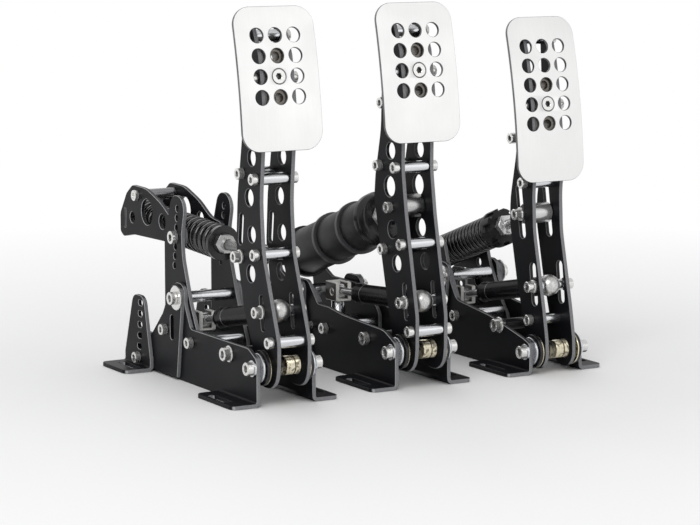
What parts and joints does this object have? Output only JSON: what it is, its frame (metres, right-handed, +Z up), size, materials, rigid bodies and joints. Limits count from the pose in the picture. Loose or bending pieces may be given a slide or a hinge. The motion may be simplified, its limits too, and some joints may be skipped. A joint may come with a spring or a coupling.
{
  "type": "sim racing pedal set",
  "caption": "Sim racing pedal set on bent sheet bases: cradled coil-spring clutch, rubber-stack brake and coil-spring throttle, each with twin-plate arm and perforated foot plate.",
  "frame": {"origin": "middle of the set's footprint on the floor", "axes": "+X to the driver's right, +Y away from the driver, +Z up"},
  "size_m": [0.346, 0.258, 0.2891],
  "materials": {
    "black_steel": "fine satin powder coat",
    "stainless": "brushed",
    "bolt_steel": "bright",
    "zinc": "bright zinc",
    "bronze": "satin",
    "chrome_rod": "polished",
    "spring_steel": "satin black",
    "rubber": "satin",
    "damper_black": "satin black",
    "cell": "satin"
  },
  "bodies": {
    "bases": {"clutch_base_left": "black_steel", "clutch_base_right": "black_steel", "brake_base_left": "black_steel", "brake_base_right": "black_steel", "throttle_base_left": "black_steel", "throttle_base_right": "black_steel", "clutch_towers": "black_steel", "brake_towers": "black_steel", "throttle_towers": "black_steel", "support_plates": "black_steel", "rear_brackets": "black_steel", "base_bolts": "bolt_steel", "base_spacers": "zinc", "pivot_bolts": "bolt_steel", "pivot_washers": "zinc", "clutch_load_cell": "cell", "brake_load_cell": "cell", "throttle_load_cell": "cell", "clutch_damper_rod": "chrome_rod", "brake_damper_rod": "chrome_rod", "throttle_damper_rod": "chrome_rod", "brake_strut_rear": "black_steel", "brake_rubbers": "rubber", "throttle_strut_rear": "black_steel", "throttle_spring": "spring_steel"},
    "clutch_arm": {"clutch_arm_left": "black_steel", "clutch_arm_right": "black_steel", "clutch_arm_spacers": "zinc", "clutch_arm_bolts": "bolt_steel", "clutch_plate": "stainless", "clutch_carrier": "black_steel", "clutch_bush": "bronze"},
    "brake_arm": {"brake_arm_left": "black_steel", "brake_arm_right": "black_steel", "brake_arm_spacers": "zinc", "brake_arm_bolts": "bolt_steel", "brake_plate": "stainless", "brake_carrier": "black_steel", "brake_bush": "bronze"},
    "throttle_arm": {"throttle_arm_left": "black_steel", "throttle_arm_right": "black_steel", "throttle_arm_spacers": "zinc", "throttle_arm_bolts": "bolt_steel", "throttle_plate": "stainless", "throttle_carrier": "black_steel", "throttle_bush": "bronze"},
    "clutch_damper": {"clutch_damper_tube": "damper_black"},
    "brake_damper": {"brake_damper_tube": "damper_black"},
    "throttle_damper": {"throttle_damper_tube": "damper_black"},
    "clutch_spring_cradle": {"clutch_cradle": "black_steel", "clutch_cradle_tie": "zinc", "clutch_spring": "spring_steel"},
    "clutch_strut": {"clutch_strut_rod": "chrome_rod", "clutch_spring_cup": "black_steel"},
    "brake_strut": {"brake_strut_front": "black_steel"},
    "brake_front_disc": {"brake_disc_front": "black_steel"},
    "brake_rear_disc": {"brake_disc_rear": "black_steel"},
    "throttle_strut": {"throttle_strut_rod": "chrome_rod", "throttle_collar": "black_steel"}
  },
  "joints": [
    {"name": "clutch_press", "type": "hinge", "parent": "bases", "child": "clutch_arm", "pos_m": [-0.121, -0.111, 0.0284], "axis": [-1, 0, 0], "range_deg": [0, 13], "stiffness_Nm_per_rad": 60, "springref_deg": -4.01, "deforming": ["clutch_spring"]},
    {"name": "brake_press", "type": "hinge", "parent": "bases", "child": "brake_arm", "pos_m": [0, -0.104, 0.0284], "axis": [-1, 0, 0], "range_deg": [0, 6], "stiffness_Nm_per_rad": 800, "springref_deg": -0.57, "deforming": ["brake_rubbers"]},
    {"name": "throttle_press", "type": "hinge", "parent": "bases", "child": "throttle_arm", "pos_m": [0.121, -0.104, 0.0177], "axis": [-1, 0, 0], "range_deg": [0, 15], "stiffness_Nm_per_rad": 24, "springref_deg": -5.73, "deforming": ["throttle_spring"]},
    {"name": "clutch_strut_swing", "type": "hinge", "parent": "clutch_arm", "child": "clutch_strut", "pos_m": [-0.121, -0.0725, 0.105], "axis": [-1, 0, 0], "range_deg": [-20.77, 0]},
    {"name": "clutch_cradle_swing", "type": "hinge", "parent": "bases", "child": "clutch_spring_cradle", "pos_m": [-0.121, 0.0212, 0.1088], "axis": [-1, 0, 0], "range_deg": [-7.77, 0]},
    {"name": "clutch_damper_swing", "type": "hinge", "parent": "clutch_arm", "child": "clutch_damper", "pos_m": [-0.121, -0.105, 0.068], "axis": [-1, 0, 0], "range_deg": [-13.28, 0]},
    {"name": "brake_strut_swing", "type": "hinge", "parent": "brake_arm", "child": "brake_strut", "pos_m": [0, -0.0846, 0.1353], "axis": [-1, 0, 0], "range_deg": [-5.23, 0]},
    {"name": "brake_damper_swing", "type": "hinge", "parent": "brake_arm", "child": "brake_damper", "pos_m": [0, -0.1065, 0.0657], "axis": [-1, 0, 0], "range_deg": [-5.78, 0]},
    {"name": "throttle_strut_swing", "type": "hinge", "parent": "throttle_arm", "child": "throttle_strut", "pos_m": [0.121, -0.0796, 0.122], "axis": [-1, 0, 0], "range_deg": [-15.01, 0]},
    {"name": "throttle_damper_swing", "type": "hinge", "parent": "throttle_arm", "child": "throttle_damper", "pos_m": [0.121, -0.0985, 0.0673], "axis": [-1, 0, 0], "range_deg": [-15.25, 0]},
    {"name": "brake_front_disc_slide", "type": "slide", "parent": "bases", "child": "brake_front_disc", "axis": [0, 0.9457, -0.3249], "range_m": [0, 0.00852]},
    {"name": "brake_rear_disc_slide", "type": "slide", "parent": "bases", "child": "brake_rear_disc", "axis": [0, 0.9457, -0.3249], "range_m": [0, 0.00484]}
  ],
  "couplings": [
    {"joint": "clutch_strut_swing", "follows": "clutch_press", "ratio": -1.5968},
    {"joint": "clutch_cradle_swing", "follows": "clutch_press", "ratio": -0.5968},
    {"joint": "clutch_damper_swing", "follows": "clutch_press", "ratio": -1.0207},
    {"joint": "brake_strut_swing", "follows": "brake_press", "ratio": -0.869},
    {"joint": "brake_damper_swing", "follows": "brake_press", "ratio": -0.9607},
    {"joint": "throttle_strut_swing", "follows": "throttle_press", "ratio": -1},
    {"joint": "throttle_damper_swing", "follows": "throttle_press", "ratio": -1.0158},
    {"joint": "brake_front_disc_slide", "follows": "brake_press", "m_per_rad": 0.08125},
    {"joint": "brake_rear_disc_slide", "follows": "brake_press", "m_per_rad": 0.04608}
  ]
}
